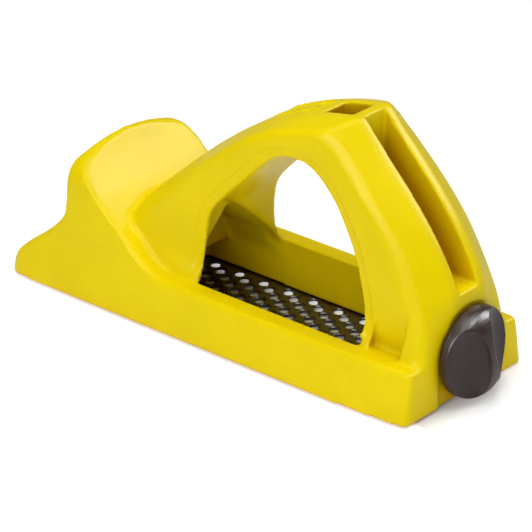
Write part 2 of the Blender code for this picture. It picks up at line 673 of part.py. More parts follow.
def knob_blank():
    """The knob before its finger hollows: a rim and a low dome, turned about the stud's axis."""
    profile = [(0.0, KNOB_HEIGHT)]
    steps = 8
    dome = KNOB_HEIGHT - KNOB_RIM
    for step in range(1, steps + 1):
        angle = math.radians(90) * (1 - step / steps)
        profile.append((KNOB_RADIUS * math.cos(angle) ** 0.9, KNOB_RIM + dome * math.sin(angle) ** 0.8))
    profile += [(KNOB_RADIUS, 0.8 * MM), (KNOB_RADIUS - 0.8 * MM, 0.0), (0.0, 0.0)]
    mesh = bpy.data.meshes.new("knob_profile")
    edges = [(i, i + 1) for i in range(len(profile) - 1)]
    mesh.from_pydata([(r, 0.0, z) for r, z in profile], edges, [])
    knob = add_object("knob_profile", mesh, CUTTERS)
    screw = knob.modifiers.new("turn", "SCREW")
    screw.axis = "Z"
    screw.angle = math.radians(360)
    screw.steps = 48
    screw.render_steps = 48
    screw.use_merge_vertices = True
    screw.merge_threshold = 0.00005
    apply_modifiers(knob)
    shape = bmesh.new()
    shape.from_mesh(knob.data)
    bmesh.ops.remove_doubles(shape, verts=shape.verts, dist=0.00002)
    bmesh.ops.recalc_face_normals(shape, faces=shape.faces)
    shape.to_mesh(knob.data)
    shape.free()
    return knob


def scoop(side):
    """One big finger hollow beside the wing."""
    shape = bmesh.new()
    bmesh.ops.create_uvsphere(shape, u_segments=28, v_segments=16, radius=1.0)
    size = Vector((0.66 * KNOB_RADIUS, 0.80 * KNOB_RADIUS, KNOB_HEIGHT - KNOB_RIM + 1.2 * MM))
    centre = (side * (KNOB_WING / 2 + size.x), 0.0, KNOB_HEIGHT + 0.8 * MM)
    place = Matrix.Translation(centre) @ Matrix.Diagonal((*size, 1.0))
    bmesh.ops.transform(shape, verts=shape.verts, matrix=place)
    return finish_bmesh("scoop", shape, CUTTERS)


def build_knob():
    knob = knob_blank()
    for side in (-1, 1):
        boolean(knob, scoop(side), "DIFFERENCE")
    socket = rod("socket", STUD_DIAMETER + 2 * GAP, (0, 0, -5 * MM),
                 (0, 0, STUD_ROOT + GAP), (0, 0, 1))
    boolean(knob, socket, "DIFFERENCE")
    stand = Matrix(((0, 0, 1, 0), (1, 0, 0, 0), (0, 1, 0, 0), (0, 0, 0, 1)))
    knob.data.transform(stand)
    knob.location = (KNOB_BACK, 0.0, AXIS_HEIGHT)
    return give(knob, "tension_knob", DARK_KNOB)


def set_origin(item, point):
    """Moves an object's origin without moving its shape."""
    shift = Vector(point) - item.location
    item.data.transform(Matrix.Translation(-shift))
    item.location = point


def main():
    """Makes every piece, then moves the whole model over its origin."""
    fixed = [build_body(), build_blade(), build_toe_pin()]
    sliding = [build_hook(), build_nut()]
    turning = [build_knob(), build_stud(), build_washer()]
    axis_point = Vector((KNOB_BACK, 0.0, AXIS_HEIGHT))
    for item in sliding + turning:
        set_origin(item, axis_point)
    for item in fixed + sliding + turning:
        item.location = item.location - ORIGIN
    bpy.context.view_layer.update()


YELLOW_PLASTIC = new_material("yellow plastic", YELLOW, 0.42)
DARK_KNOB = new_material("dark knob plastic", DARK_PLASTIC, 0.38)
BLACK_BLADE = new_material("blackened steel", BLACK_STEEL, 0.35, 0.6)
ZINC_STEEL = new_material("zinc plated steel", ZINC, 0.3, 1.0)

main()
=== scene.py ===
# %% [markdown]
# # A pocket rasp plane
#
# The real tool is a shell of yellow polypropylene, moulded in one shot, with a perforated rasp
# blade hooked under it. A dark knob behind the heel pulls the blade tight. This script dresses
# the CAD model: it keeps every place and joint of the frame and rebuilds the surfaces with the
# roundings, dimples, ribs and finishes that make the tool look like itself.

import json
import math

import bmesh
import bpy
import numpy as np
from mathutils import Matrix, Vector

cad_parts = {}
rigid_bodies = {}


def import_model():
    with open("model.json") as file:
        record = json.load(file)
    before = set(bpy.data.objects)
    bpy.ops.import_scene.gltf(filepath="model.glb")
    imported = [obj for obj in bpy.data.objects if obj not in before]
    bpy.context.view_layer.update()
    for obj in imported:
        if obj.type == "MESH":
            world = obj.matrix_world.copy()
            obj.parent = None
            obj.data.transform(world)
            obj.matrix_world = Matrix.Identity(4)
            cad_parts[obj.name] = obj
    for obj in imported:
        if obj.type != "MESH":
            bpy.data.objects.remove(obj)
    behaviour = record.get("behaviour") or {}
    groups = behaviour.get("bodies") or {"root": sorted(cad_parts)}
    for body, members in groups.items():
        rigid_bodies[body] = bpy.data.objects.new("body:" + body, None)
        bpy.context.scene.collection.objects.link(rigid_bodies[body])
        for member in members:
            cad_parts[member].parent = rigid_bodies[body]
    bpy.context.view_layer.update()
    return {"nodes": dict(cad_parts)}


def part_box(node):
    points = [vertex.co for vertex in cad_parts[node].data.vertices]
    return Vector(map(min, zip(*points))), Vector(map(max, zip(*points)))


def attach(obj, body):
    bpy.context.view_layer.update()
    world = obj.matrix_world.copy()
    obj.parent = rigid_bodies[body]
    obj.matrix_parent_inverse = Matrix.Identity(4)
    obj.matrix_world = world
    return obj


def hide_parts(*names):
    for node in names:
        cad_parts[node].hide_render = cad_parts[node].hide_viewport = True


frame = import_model()

# %% [markdown]
# ## Places
#
# The sizes below are in the tool's own axes: x from the toe towards the knob, y across and z up
# from the sole. That is how a maker would dimension it. `ROW` is the one shift that takes these
# into the frame, read from the CAD body's box, so the dressed pieces land on the solids.

# %% Driving sizes
MM = 0.001

BODY_LOW, BODY_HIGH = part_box("body")
ROW = Vector((BODY_LOW.x, 0.0, BODY_LOW.z))

BODY_LENGTH = 155.0 * MM
HALF_WIDTH = (BODY_HIGH.y - BODY_LOW.y) / 2
HEEL_FACE = BODY_LENGTH + 0.5 * MM
DECK = 15.4 * MM                        # top of the side walls
PADDLE_TOP = 46.0 * MM
SIDE_DRAFT = 2.6 * MM                   # inset of the side walls at the deck
PADDLE_DRAFT = 4.4 * MM                 # inset of the finger rest
HEEL_TUCK = 1.5 * MM                    # each side is this much narrower at the heel
HEEL_CORNER = 0.6 * MM                  # and this much more at its rounded corners
HANDLE_TOP = 78.0 * MM
DEEP = -12 * MM                         # cutters reach this far below the sole
WINDOW_HALF = 19.8 * MM                 # half width of the chip window at the deck
WINDOW_FOOT = WINDOW_HALF - 1.8 * MM    # and at the blade
AXIS_HEIGHT = 14.8 * MM                 # of the tensioning stud
KNOB_LOW, KNOB_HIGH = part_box("tension_knob")
KNOB_RADIUS = (KNOB_HIGH.y - KNOB_LOW.y) / 2
KNOB_BACK = KNOB_LOW.x
KNOB_HEIGHT = KNOB_HIGH.x - KNOB_LOW.x

VOXEL = 0.62 * MM                       # remesh that merges and rounds the main forms
MAIN_ROUNDING = 22                      # smoothing passes for them
FINE_VOXEL = 0.45 * MM                  # remesh that takes the edge off the pockets
FINE_ROUNDING = 3
print("tool origin in the frame, mm:", [round(c / MM, 2) for c in ROW])

# %% [markdown]
# ## Camera
#
# A long lens from the right, above and behind the knob: the heel is nearest, and the toe runs
# away to the left. The distance is about five tool lengths, so parallels nearly stay parallel.

# %% Camera
AZIMUTH = math.radians(40.94)
ELEVATION = math.radians(25.97)
DISTANCE = 904 * MM
AIM = Vector((5.67, -8.90, 23.07)) * MM
LENS = 209.45


def place_camera():
    """Makes the scene's camera and points it at AIM."""
    camera = bpy.data.objects.new("camera", bpy.data.cameras.new("camera"))
    bpy.context.scene.collection.objects.link(camera)
    bpy.context.scene.camera = camera
    back = Vector((math.sin(AZIMUTH) * math.cos(ELEVATION),
                   -math.cos(AZIMUTH) * math.cos(ELEVATION), math.sin(ELEVATION)))
    camera.location = AIM + DISTANCE * back
    camera.rotation_mode = "QUATERNION"
    camera.rotation_quaternion = (-back).to_track_quat("-Z", "Y")
    camera.data.lens = LENS
    camera.data.clip_start = 0.05
    camera.data.clip_end = 10.0
    return camera


CAMERA = place_camera()
print("camera at", [round(c, 3) for c in CAMERA.location])

# %% [markdown]
# ## Mesh helpers
#
# The moulding is made the way its mould was: solid forms are merged, the openings and pockets
# are taken away, and the edges are rounded. Outlines are drawn as curves and filled by Blender,
# so that a slab has clean caps whatever its shape.

# %% Mesh helpers
def new_object(name, mesh):
    item = bpy.data.objects.new(name, mesh)
    bpy.context.scene.collection.objects.link(item)
    return item


def from_bmesh(name, shape):
    """Turns a bmesh into an object, with its normals outwards."""
    bmesh.ops.recalc_face_normals(shape, faces=shape.faces)
    mesh = bpy.data.meshes.new(name)
    shape.to_mesh(mesh)
    shape.free()
    return new_object(name, mesh)


def bake(item):
    """Applies every modifier."""
    bpy.context.view_layer.update()
    evaluated = item.evaluated_get(bpy.context.evaluated_depsgraph_get())
    item_mesh = bpy.data.meshes.new_from_object(evaluated)
    item.modifiers.clear()
    item.data = item_mesh
    return item


def boolean(item, other, operation="DIFFERENCE"):
    """One exact Boolean. The other object is used up."""
    modifier = item.modifiers.new(operation.lower(), "BOOLEAN")
    modifier.operation = operation
    modifier.object = other
    modifier.solver = "EXACT"
    bake(item)
    bpy.data.objects.remove(other)
    return item


def box(name, low, high):
    low, high = Vector(low), Vector(high)
    shape = bmesh.new()
    bmesh.ops.create_cube(shape, size=1.0)
    place = Matrix.Translation((low + high) / 2) @ Matrix.Diagonal((*(high - low), 1.0))
    bmesh.ops.transform(shape, verts=shape.verts, matrix=place)
    return from_bmesh(name, shape)


def rod(name, radius, start, length, axis, sides=48):
    """A cylinder from start along an axis."""
    axis = Vector(axis)
    shape = bmesh.new()
    bmesh.ops.create_cone(shape, cap_ends=True, segments=sides, radius1=radius, radius2=radius,
                          depth=length)
    turn = Vector((0, 0, 1)).rotation_difference(axis).to_matrix().to_4x4()
    place = Matrix.Translation(Vector(start) + axis * length / 2) @ turn
    bmesh.ops.transform(shape, verts=shape.verts, matrix=place)
    return from_bmesh(name, shape)


def slab(name, outline, half_width):
    """An outline in the XZ plane, as (x, z) points, thick in Y."""
    curve = bpy.data.curves.new(name, "CURVE")
    curve.dimensions = "2D"
    curve.fill_mode = "BOTH"
    curve.extrude = half_width
    spline = curve.splines.new("POLY")
    spline.points.add(len(outline) - 1)
    for point, (x, z) in zip(spline.points, outline):
        point.co = (x, z, 0.0, 1.0)
    spline.use_cyclic_u = True
    drawn = new_object(name, curve)
    bpy.context.view_layer.update()
    evaluated = drawn.evaluated_get(bpy.context.evaluated_depsgraph_get())
    mesh = bpy.data.meshes.new_from_object(evaluated)
    bpy.data.objects.remove(drawn)
    shape = bmesh.new()
    shape.from_mesh(mesh)
    bmesh.ops.remove_doubles(shape, verts=shape.verts, dist=1e-6)
    stand = Matrix.Rotation(math.radians(90), 4, "X")
    bmesh.ops.transform(shape, verts=shape.verts, matrix=stand)
    return from_bmesh(name, shape)


def across(name, outline, start, end):
    """An outline in the YZ plane, as (y, z) points, that runs in X from start to end."""
    item = slab(name, outline, (end - start) / 2)
    item.data.transform(Matrix.Rotation(math.radians(90), 4, "Z"))
    item.data.transform(Matrix.Translation(((start + end) / 2, 0, 0)))
    return item


def moved(item, x=0.0, y=0.0, z=0.0):
    item.data.transform(Matrix.Translation((x, y, z)))
    return item


def mirrored(points):
    """A symmetric (y, z) outline from its +Y half, listed from the bottom up."""
    return points + [(-y, z) for y, z in reversed(points) if y > 0]


def smooth_line(points, steps=8):
    """A Catmull-Rom line through points given in millimetres, in metres."""
    padded = [points[0], *points, points[-1]]
    line = []
    for a, b, c, d in zip(padded, padded[1:], padded[2:], padded[3:]):
        for step in range(steps):
            t = step / steps
            line.append(tuple(
                0.5 * MM * (2 * q + (r - p) * t + (2 * p - 5 * q + 4 * r - s) * t * t
                            + (3 * q - p - 3 * r + s) * t ** 3)
                for p, q, r, s in zip(a, b, c, d)))
    return line + [tuple(c * MM for c in points[-1])]


def soften(item, voxel, passes):
    """Remeshes a crisp solid into even cells and relaxes them, which rounds every edge."""
    remesh = item.modifiers.new("remesh", "REMESH")
    remesh.mode = "VOXEL"
    remesh.voxel_size = voxel
    relax = item.modifiers.new("relax", "SMOOTH")
    relax.factor = 0.5
    relax.iterations = passes
    return bake(item)


def vertex_array(mesh):
    """The mesh's vertices as an (n, 3) array."""
    flat = np.empty(len(mesh.vertices) * 3)
    mesh.vertices.foreach_get("co", flat)
    return flat.reshape(-1, 3)


def set_vertices(mesh, points):
    mesh.vertices.foreach_set("co", points.ravel())
    mesh.update()


def smoothstep(value):
    t = np.clip(value, 0.0, 1.0)
    return t * t * (3 - 2 * t)


print("helpers ready")

# %% [markdown]
# ## Colours and nodes
#
# Colours are written as the hex values a colour picker shows, so one function turns them into
# the linear values that a shader takes. A second adds a node with its settings and links.

# %% Colour and node helpers
def linear(hex_colour):
    """A hex sRGB colour as a linear RGBA tuple."""
    channels = [int(hex_colour[i:i + 2], 16) / 255 for i in (1, 3, 5)]
    return (*[c / 12.92 if c <= 0.04045 else ((c + 0.055) / 1.055) ** 2.4
              for c in channels], 1.0)


def add(tree, kind, inputs=None, **settings):
    """Adds a node. An input may be a value or another node's output socket."""
    node = tree.nodes.new("ShaderNode" + kind)
    for name, value in settings.items():
        setattr(node, name, value)
    for name, value in (inputs or {}).items():
        if isinstance(value, bpy.types.NodeSocket):
            tree.links.new(value, node.inputs[name])
        else:
            node.inputs[name].default_value = value
    return node


def new_material(name):
    """An empty node material, its tree, its shader and object-space coordinates."""
    material = bpy.data.materials.new(name)
    material.use_nodes = True
    tree = material.node_tree
    shader = tree.nodes["Principled BSDF"]
    where = add(tree, "TexCoord").outputs["Object"]
    return material, tree, shader, where


def mix(tree, factor, first, second):
    """A colour mix of two colours or sockets."""
    node = add(tree, "Mix", data_type="RGBA")
    for socket, value in ((0, factor), (6, first), (7, second)):
        if isinstance(value, bpy.types.NodeSocket):
            tree.links.new(value, node.inputs[socket])
        else:
            node.inputs[socket].default_value = value
    return node.outputs[2]


def ramp(tree, factor, low, high, dark=0.0, light=1.0):
    """Maps factor from low..high to dark..light, clamped."""
    node = add(tree, "MapRange", {"Value": factor, "From Min": low, "From Max": high,
                                  "To Min": dark, "To Max": light})
    return node.outputs["Result"]


def noise(tree, where, feature, detail=2.0):
    """Noise whose features are about the given size in metres."""
    node = add(tree, "TexNoise", {"Vector": where, "Scale": 1 / feature, "Detail": detail})
    return node.outputs["Fac"]


# %% [markdown]
# ## Yellow polypropylene
#
# The shell is pigmented polypropylene from a mould that was spark eroded to a fine satin. It
# scatters a little light inside, which warms its shaded hollows a little. The texture's grain is
# about a third of a millimetre; slow mottling comes from the pigment's flow. The deep amber of
# the hollows is painted shade: where the surface is hemmed in, as in the slot, an occlusion term
# darkens the colour to a deep amber.

# %% Yellow plastic
def yellow_polypropylene():
    material, tree, shader, where = new_material("yellow_polypropylene")
    flow = noise(tree, where, 22 * MM, 3.0)
    cloud = ramp(tree, flow, 0.35, 0.65)
    colour = mix(tree, cloud, linear("#E9D000"), linear("#EFD600"))
    speck = noise(tree, where, 1.1 * MM, 4.0)
    colour = mix(tree, ramp(tree, speck, 0.62, 0.78, 0.0, 0.35), colour, linear("#D9B400"))
    # Painted shade: an occlusion term darkens the colour to deep amber in the slot and other
    # hollows.
    shade = add(tree, "AmbientOcclusion", {"Distance": 24 * MM}, samples=8).outputs["AO"]
    colour = mix(tree, ramp(tree, shade, 0.15, 0.6, 1.0, 0.0), colour, linear("#BE9000"))
    tree.links.new(colour, shader.inputs["Base Color"])
    grain = noise(tree, where, 0.32 * MM, 3.0)
    tree.links.new(ramp(tree, speck, 0.3, 0.7, 0.28, 0.36), shader.inputs["Roughness"])
    bump = add(tree, "Bump", {"Height": grain, "Strength": 0.12, "Distance": 0.04 * MM})
    tree.links.new(bump.outputs["Normal"], shader.inputs["Normal"])
    shader.inputs["Specular IOR Level"].default_value = 0.13
    shader.inputs["Specular Tint"].default_value = linear("#FFF0C8")
    shader.inputs["Subsurface Weight"].default_value = 0.12
    shader.inputs["Subsurface Radius"].default_value = (1.0, 0.7, 0.05)
    shader.inputs["Subsurface Scale"].default_value = 1.6 * MM
    return material


YELLOW = yellow_polypropylene()
print("material:", YELLOW.name)

# %% [markdown]
# ## The moulding's main forms
#
# The base is a drafted box cut to the tool's side view: a concave toe, a finger rest whose back
# runs down in a ramp, a flat deck and the heel. The handle is an arch over it. Its back is
# narrower than its sides, so the loft joins three lines on each side: the edge of the hand
# opening, the outer crest and the spine. Each crest is a narrow chamfer, which then rounds.

# %% Base and handle
def half_width_at(x):
    """Half width of the sole: rounded at the toe, tucked in at the heel."""
    nose = 2.6 * MM * max(1 - x / (5 * MM), 0.0) ** 2 + 0.5 * MM * max(1 - x / (30 * MM), 0.0)
    tail = max((x - BODY_LENGTH + 45 * MM) / (45 * MM), 0.0)
    return HALF_WIDTH - nose - HEEL_TUCK * tail ** 2


def inset_at(z):
    """How far the drafted sides lean in at a height."""
    if z < DECK:
        return SIDE_DRAFT * z / DECK
    return SIDE_DRAFT + (PADDLE_DRAFT - SIDE_DRAFT) * (z - DECK) / (PADDLE_TOP - DECK)


def loft(name, rings, caps=True):
    """Joins closed rings of points, in order."""
    shape = bmesh.new()
    rings = [[shape.verts.new(p) for p in ring] for ring in rings]
    count = len(rings[0])
    for low, high in zip(rings, rings[1:]):
        for i in range(count):
            j = (i + 1) % count
            shape.faces.new((low[i], low[j], high[j], high[i]))
    if caps:
        shape.faces.new(rings[0])
        shape.faces.new(rings[-1])
    bmesh.ops.triangulate(shape, faces=shape.faces)
    return from_bmesh(name, shape)


def plan_block():
    """The base's plan outline, carried up with the draft of its sides."""
    stations = [x * MM for x in (0, 0.6, 1.6, 3, 5, 12, 30, 60, 100, 120, 132, 142, 150, 154)]
    stations.append(HEEL_FACE)
    rings = []
    for z in (-8 * MM, 0.0, DECK, PADDLE_TOP, PADDLE_TOP + 3 * MM):
        half = [half_width_at(x) - inset_at(z) for x in stations]
        half[-1] -= HEEL_CORNER
        near = [(x, -y, z) for x, y in zip(stations, half)]
        far = [(x, y, z) for x, y in reversed(list(zip(stations, half)))]
        rings.append(near + far)
    return loft("plan_block", rings)


def base_profile():
    """Side view of the base."""
    toe = smooth_line([(0, 0), (0.5, 3.4), (2.2, 6.6), (5.2, 9.6), (8, 12), (13.4, 16),
                       (18.7, 20.6), (21.6, 24.4), (22.4, 30)])
    rest_front = smooth_line([(22.4, 30), (22.6, 36), (23.2, 46.5)])
    rest_ramp = smooth_line([(24.8, 46.5), (27.8, 42.2), (31.6, 37.5), (36.2, 32.7),
                             (46.3, 24.6), (53, 18.7), (60, 15.6), (68, 15.4)])
    heel = [(150 * MM, DECK), (HEEL_FACE - 0.4 * MM, DECK), (HEEL_FACE, 0.0)]
    return toe[:-1] + rest_front + rest_ramp + heel + [(HEEL_FACE, -8 * MM), (0.0, -8 * MM)]


def rest_arch():
    """Front view of the finger rest: an arch with rounded shoulders."""
    half = (HALF_WIDTH - PADDLE_DRAFT) / MM
    shoulder = smooth_line([(half, 37.5), (half - 1.2, 40), (half - 3.8, 42),
                            (half - 9, 43.6), (half - 15, 45), (0, 46)])
    wide = HALF_WIDTH + 5 * MM
    side = [(wide, -9 * MM), (wide, 34 * MM), ((half + 0.6) * MM, 36 * MM)]
    return across("rest_arch", mirrored(side + shoulder), -BODY_LENGTH, 2 * BODY_LENGTH)


# The handle's lines as (x, half width, z), from the front foot to the top and down the back
RIDGE_FRONT = [(38, 7.2, 28), (50, 7.2, 39.2), (60, 7.2, 48), (70, 7.2, 56.2),
               (80, 7.2, 63.4), (90, 7.2, 69.3), (100, 7.2, 73.3), (110, 7.2, 75.9),
               (121, 7.2, 77.9)]
CREST_FRONT = [(38, 19.6, 22.5), (49, 18.8, 33), (59.5, 18.6, 42), (73, 18.1, 54.2),
               (83, 17.4, 62.2), (93, 17, 68), (104.6, 16.6, 72), (113, 16.2, 73.8)]
SPINE = [(121, 7.2, 77.9), (127.3, 7.2, 70.8), (139.3, 7.2, 58.2), (148.2, 7.2, 47.2),
         (154.8, 7.2, 35.6), (156.3, 7.2, 27), (155.5, 7.2, 15)]
CREST_BACK = [(113, 16.2, 73.8), (117, 15.8, 72.2), (120.7, 15.4, 69.9), (125, 15.6, 66.3),
              (131.3, 16.4, 59.6), (135.8, 16.7, 54.8), (140, 16.8, 50), (143.6, 17, 45),
              (147, 17.8, 37.9), (150.1, 18.2, 31.8), (153.4, 18.9, 24.8), (155.3, 20.4, 15)]
GRIP_FRONT = [(70.6, 19.6, 15.4), (70.8, 17.0, 19), (71, 15.9, 26), (72.2, 15.8, 36),
              (77.6, 15.8, 43.2), (87, 15.8, 52.4), (94, 15.7, 59.3), (100, 15.6, 62.6)]
GRIP_BACK = [(100, 15.6, 62.6), (107, 15.5, 63), (113, 15.7, 60.6), (119, 16, 54.8),
             (124.6, 16.2, 46.2), (128.8, 16.6, 36.4), (131.8, 17.4, 25), (133, 19.6, 15.4)]


LINE_STATIONS = 60                      # steps in each half of a line
CREST_CHAMFER = 2.4 * MM                # reach of the chamfer on each side of a crest


def resample(line, count):
    """Count points at even steps along a line."""
    line = np.array(line)
    reach = np.concatenate(([0.0], np.cumsum(np.linalg.norm(np.diff(line, axis=0), axis=1))))
    wanted = np.linspace(0.0, reach[-1], count)
    return np.stack([np.interp(wanted, reach, line[:, i]) for i in range(line.shape[1])], 1)


def handle_line(front, back, low):
    """One closed line of the handle: front and back, joined through the base."""
    line = np.concatenate([resample(smooth_line(front), LINE_STATIONS)[:-1],
                           resample(smooth_line(back), LINE_STATIONS)])
    ends = [(line[-1][0], line[-1][1], low), (line[0][0], line[0][1], low)]
    return [tuple(point) for point in line] + ends


def toward(line, other, reach):
    """Moves each point of a line towards its fellow on another line."""
    line, other = np.array(line), np.array(other)
    way = other - line
    way /= np.linalg.norm(way, axis=1)[:, None] + 1e-9
    way[-2:] = 0.0                      # the two foot points stay
    return [tuple(point) for point in line + reach * way]


def handle_block():
    """The solid handle: rings from the opening's edge over the crest and the spine."""
    low = DECK - 6 * MM
    grip = handle_line(GRIP_FRONT, GRIP_BACK, low + 3 * MM)
    crest = handle_line(CREST_FRONT, CREST_BACK, low)
    spine = handle_line(RIDGE_FRONT, SPINE, low)
    lines = [grip, toward(crest, grip, CREST_CHAMFER), toward(crest, spine, CREST_CHAMFER), spine]
    near = [[(x, -y, z) for x, y, z in line] for line in lines]
    return loft("handle_block", near + lines[::-1])


# %% [markdown]
# ## Openings of the moulding
#
# The hand opening is one outline through the handle. Under it the chip window is a drafted
# well down to the blade, and a tent-shaped hollow runs forward inside the front leg. Where that
# hollow meets the opening its roof is one slope, high on the near side and low on the far side.

# %% Openings
GRIP = smooth_line([(x, z) for x, _, z in GRIP_FRONT[:-1] + GRIP_BACK])


def window_cutters():
    """The chip window, the low hollow ahead of it and the tent under the front leg."""
    slope = (WINDOW_HALF - WINDOW_FOOT) / DECK
    top = DECK + 4 * MM
    eaves = 9.5 * MM
    well = mirrored([(WINDOW_FOOT, DEEP), (WINDOW_FOOT, 0.0), (WINDOW_FOOT + slope * top, top)])
    low = mirrored([(WINDOW_FOOT - 0.1 * MM, DEEP + 1 * MM), (WINDOW_FOOT + slope * eaves, eaves)])
    tent = mirrored([(WINDOW_FOOT + 0.1 * MM, DEEP + 2 * MM), (19.2 * MM, 10.5 * MM),
                     (15.4 * MM, 18.5 * MM), (0.0, 33 * MM)])
    roof = [(y * MM, z * MM) for y, z in
            ((17.9, -9), (19.0, 14.5), (14.3, 20.5), (6.6, 27.7), (-0.5, 33.8), (-13.4, 43.6),
             (-13.6, 30), (-17.9, 10), (-17.9, -9))]
    return [across("window", well, 70 * MM, 133 * MM),
            across("ramp_hollow", low, 40 * MM, 72 * MM),
            across("tent", tent, 50 * MM, 68 * MM),
            across("roof", roof, 66.5 * MM, 78 * MM)]


def main_forms():
    block = plan_block()
    boolean(block, slab("base_profile", base_profile(), 2 * HALF_WIDTH), "INTERSECT")
    boolean(block, rest_arch(), "INTERSECT")
    boolean(block, handle_block(), "UNION")
    boolean(block, slab("grip", GRIP, 2 * HALF_WIDTH))
    for tool in window_cutters():
        boolean(block, tool)
    return soften(block, VOXEL, MAIN_ROUNDING)


SHELL = main_forms()
print("main forms:", len(SHELL.data.vertices), "vertices")

# %% [markdown]
# ## Pockets, slot and seat
#
# These have crisp edges on the real tool, because they are formed by inserts in the mould. They
# are cut after the main rounding, and a finer remesh then takes only the razor edge off them.

# %% Pockets
SLOT_HALF = 4.4 * MM
SLOT_DEPTH = 12 * MM
SLOT_FOOT = (155.4, 7.2, 33.0)          # lower end of the slot, on the spine
POCKET_LEAN = 0.12                      # the foot pockets lean back with the foot


def spine_slot():
    """The slot down the back of the handle, at a constant depth."""
    line = [Vector((x, z)) for x, _, z in smooth_line(SPINE[:4] + [SLOT_FOOT])]
    inner = []
    for before, after in zip(line, line[2:]):
        along = (after - before).normalized()
        inner.append(tuple((before + after) / 2 - SLOT_DEPTH * Vector((-along.y, along.x))))
    top, foot = line[0], line[-1]
    clear = 8 * MM
    outer = [(top.x, top.y + clear), (top.x + 4 * clear, top.y + clear),
             (foot.x + 4 * clear, foot.y)]
    inner = [point for point in inner if point[0] > top.x and point[1] > foot.y]
    ends = [(top.x, inner[0][1])] + inner + [(inner[-1][0], foot.y)]
    return slab("spine_slot", outer + ends[::-1], SLOT_HALF)


def top_pocket():
    """The short pocket in the ridge, with a floor that ramps up at its front."""
    rear = 117.0 * MM
    front = rear - 10.5 * MM
    floor = HANDLE_TOP - 9 * MM
    above = HANDLE_TOP + 5 * MM
    return slab("top_pocket", [(front, above), (front, floor - 2.6 * MM), (rear, floor),
                               (rear, above)], 4.8 * MM)


def foot_pocket(side):
    """The pocket beside the rear foot: its back leans out, so it fades into the side above."""
    outline = [(y * MM, z * MM) for y, z in ((16.2, 15.4), (17.9, 30), (30, 30), (30, 15.4))]
    tool = across("foot_pocket", [(side * y, z) for y, z in outline], 135.6 * MM, 147 * MM)
    lean = Matrix.Identity(4)
    lean[0][2] = POCKET_LEAN
    tool.data.transform(lean)
    return moved(tool, x=-POCKET_LEAN * DECK)


def seat_cutters():
    """What the sole hides: the blade's seat, the hook's channel and the hollow finger rest."""
    rest = [(17, -9), (17.5, 13), (26, 21), (26.6, 31), (28.6, 31.5), (37, 24), (37, -9)]
    rest = [(x * MM, z * MM) for x, z in rest]
    tools = [box("seat", (7.2 * MM, -21.3 * MM, -6 * MM), (147.8 * MM, 21.3 * MM, 0.8 * MM)),
             slab("rest_hollow", rest, 17.6 * MM),
             box("toe_pocket", (6 * MM, -8 * MM, -5 * MM), (13.1 * MM, 8 * MM, 6.5 * MM)),
             box("pin_slot", (8.3 * MM, -17.3 * MM, -5.5 * MM), (11.9 * MM, 17.3 * MM, 4.6 * MM)),
             box("channel", (140.2 * MM, -8.3 * MM, -7 * MM), (151.7 * MM, 8.3 * MM, 21.6 * MM)),
             rod("stud_bore", 2.95 * MM, (149 * MM, 0, AXIS_HEIGHT), 12 * MM, (1, 0, 0))]
    for side in (-1, 1):
        groove = box("groove", (7.2 * MM, -0.7 * MM, -6.5 * MM), (147.8 * MM, 0.7 * MM, 3.8 * MM))
        tools.append(moved(groove, y=side * 20.6 * MM))
    return tools


def knob_recess():
    """The flat behind the knob, round above the stud and straight down to the sole."""
    floor = HEEL_FACE - 0.8 * MM
    half = 11.8 * MM
    lower = box("recess", (floor, -half, -8 * MM), (HEEL_FACE + 6 * MM, half, AXIS_HEIGHT))
    upper = rod("recess_top", half, (floor, 0, AXIS_HEIGHT), 6.5 * MM, (1, 0, 0))
    sweep = rod("knob_sweep", KNOB_RADIUS + 0.6 * MM,
                (KNOB_BACK - ROW.x - 0.3 * MM, 0, AXIS_HEIGHT), 15 * MM, (1, 0, 0))
    return [lower, upper, sweep]


def cut_shell(shell):
    reach = 2 * BODY_LENGTH
    boolean(shell, box("sole", (-reach, -reach, -20 * MM), (reach, reach, 0.0)))
    tools = [spine_slot(), top_pocket(), foot_pocket(-1), foot_pocket(1)]
    for tool in tools + seat_cutters() + knob_recess():
        boolean(shell, tool)
    return soften(shell, FINE_VOXEL, FINE_ROUNDING)


cut_shell(SHELL)
print("after the pockets:", len(SHELL.data.vertices), "vertices")

# %% [markdown]
# ## Fine relief
#
# Two marks of the mould remain. A witness line runs round the hand opening, where the insert
# that forms it meets the side plate: inside the line the surface lies a fraction lower. On the
# ridge, plain grip ribs stand where a maker would put lettering.

# %% Fine relief
WITNESS_WIDTH = 3.5 * MM
WITNESS_STEP = 0.4 * MM


def distance_to_line(points, line):
    """Distance of (n, 2) points from an open polyline."""
    best = np.full(len(points), 1e9)
    line = np.array(line)
    for a, b in zip(line, line[1:]):
        along = b - a
        share = np.clip(((points - a) @ along) / max(along @ along, 1e-18), 0.0, 1.0)
        gap = np.linalg.norm(points - (a + share[:, None] * along), axis=1)
        best = np.minimum(best, gap)
    return best


def vertex_normals(mesh):
    flat = np.empty(len(mesh.vertices) * 3)
    mesh.vertices.foreach_get("normal", flat)
    return flat.reshape(-1, 3)


def press_witness(shell):
    """Lowers the sides of the handle close to the opening by a fraction of a millimetre."""
    points = vertex_array(shell.data)
    normals = vertex_normals(shell.data)
    distance = distance_to_line(points[:, (0, 2)], GRIP)
    inside = smoothstep((WITNESS_WIDTH - distance) / (0.4 * MM))
    facing = smoothstep((np.abs(normals[:, 1]) - 0.75) / 0.2)
    above = smoothstep((points[:, 2] - DECK - 2 * MM) / (3 * MM))
    outer = np.abs(points[:, 1]) > 11 * MM
    depth = WITNESS_STEP * inside * facing * above * outer
    points[:, 1] -= np.sign(points[:, 1]) * depth
    set_vertices(shell.data, points)
    return int((depth > 0).sum())


RIB_HEIGHT = 0.45 * MM
RIB_PITCH = 2.2 * MM


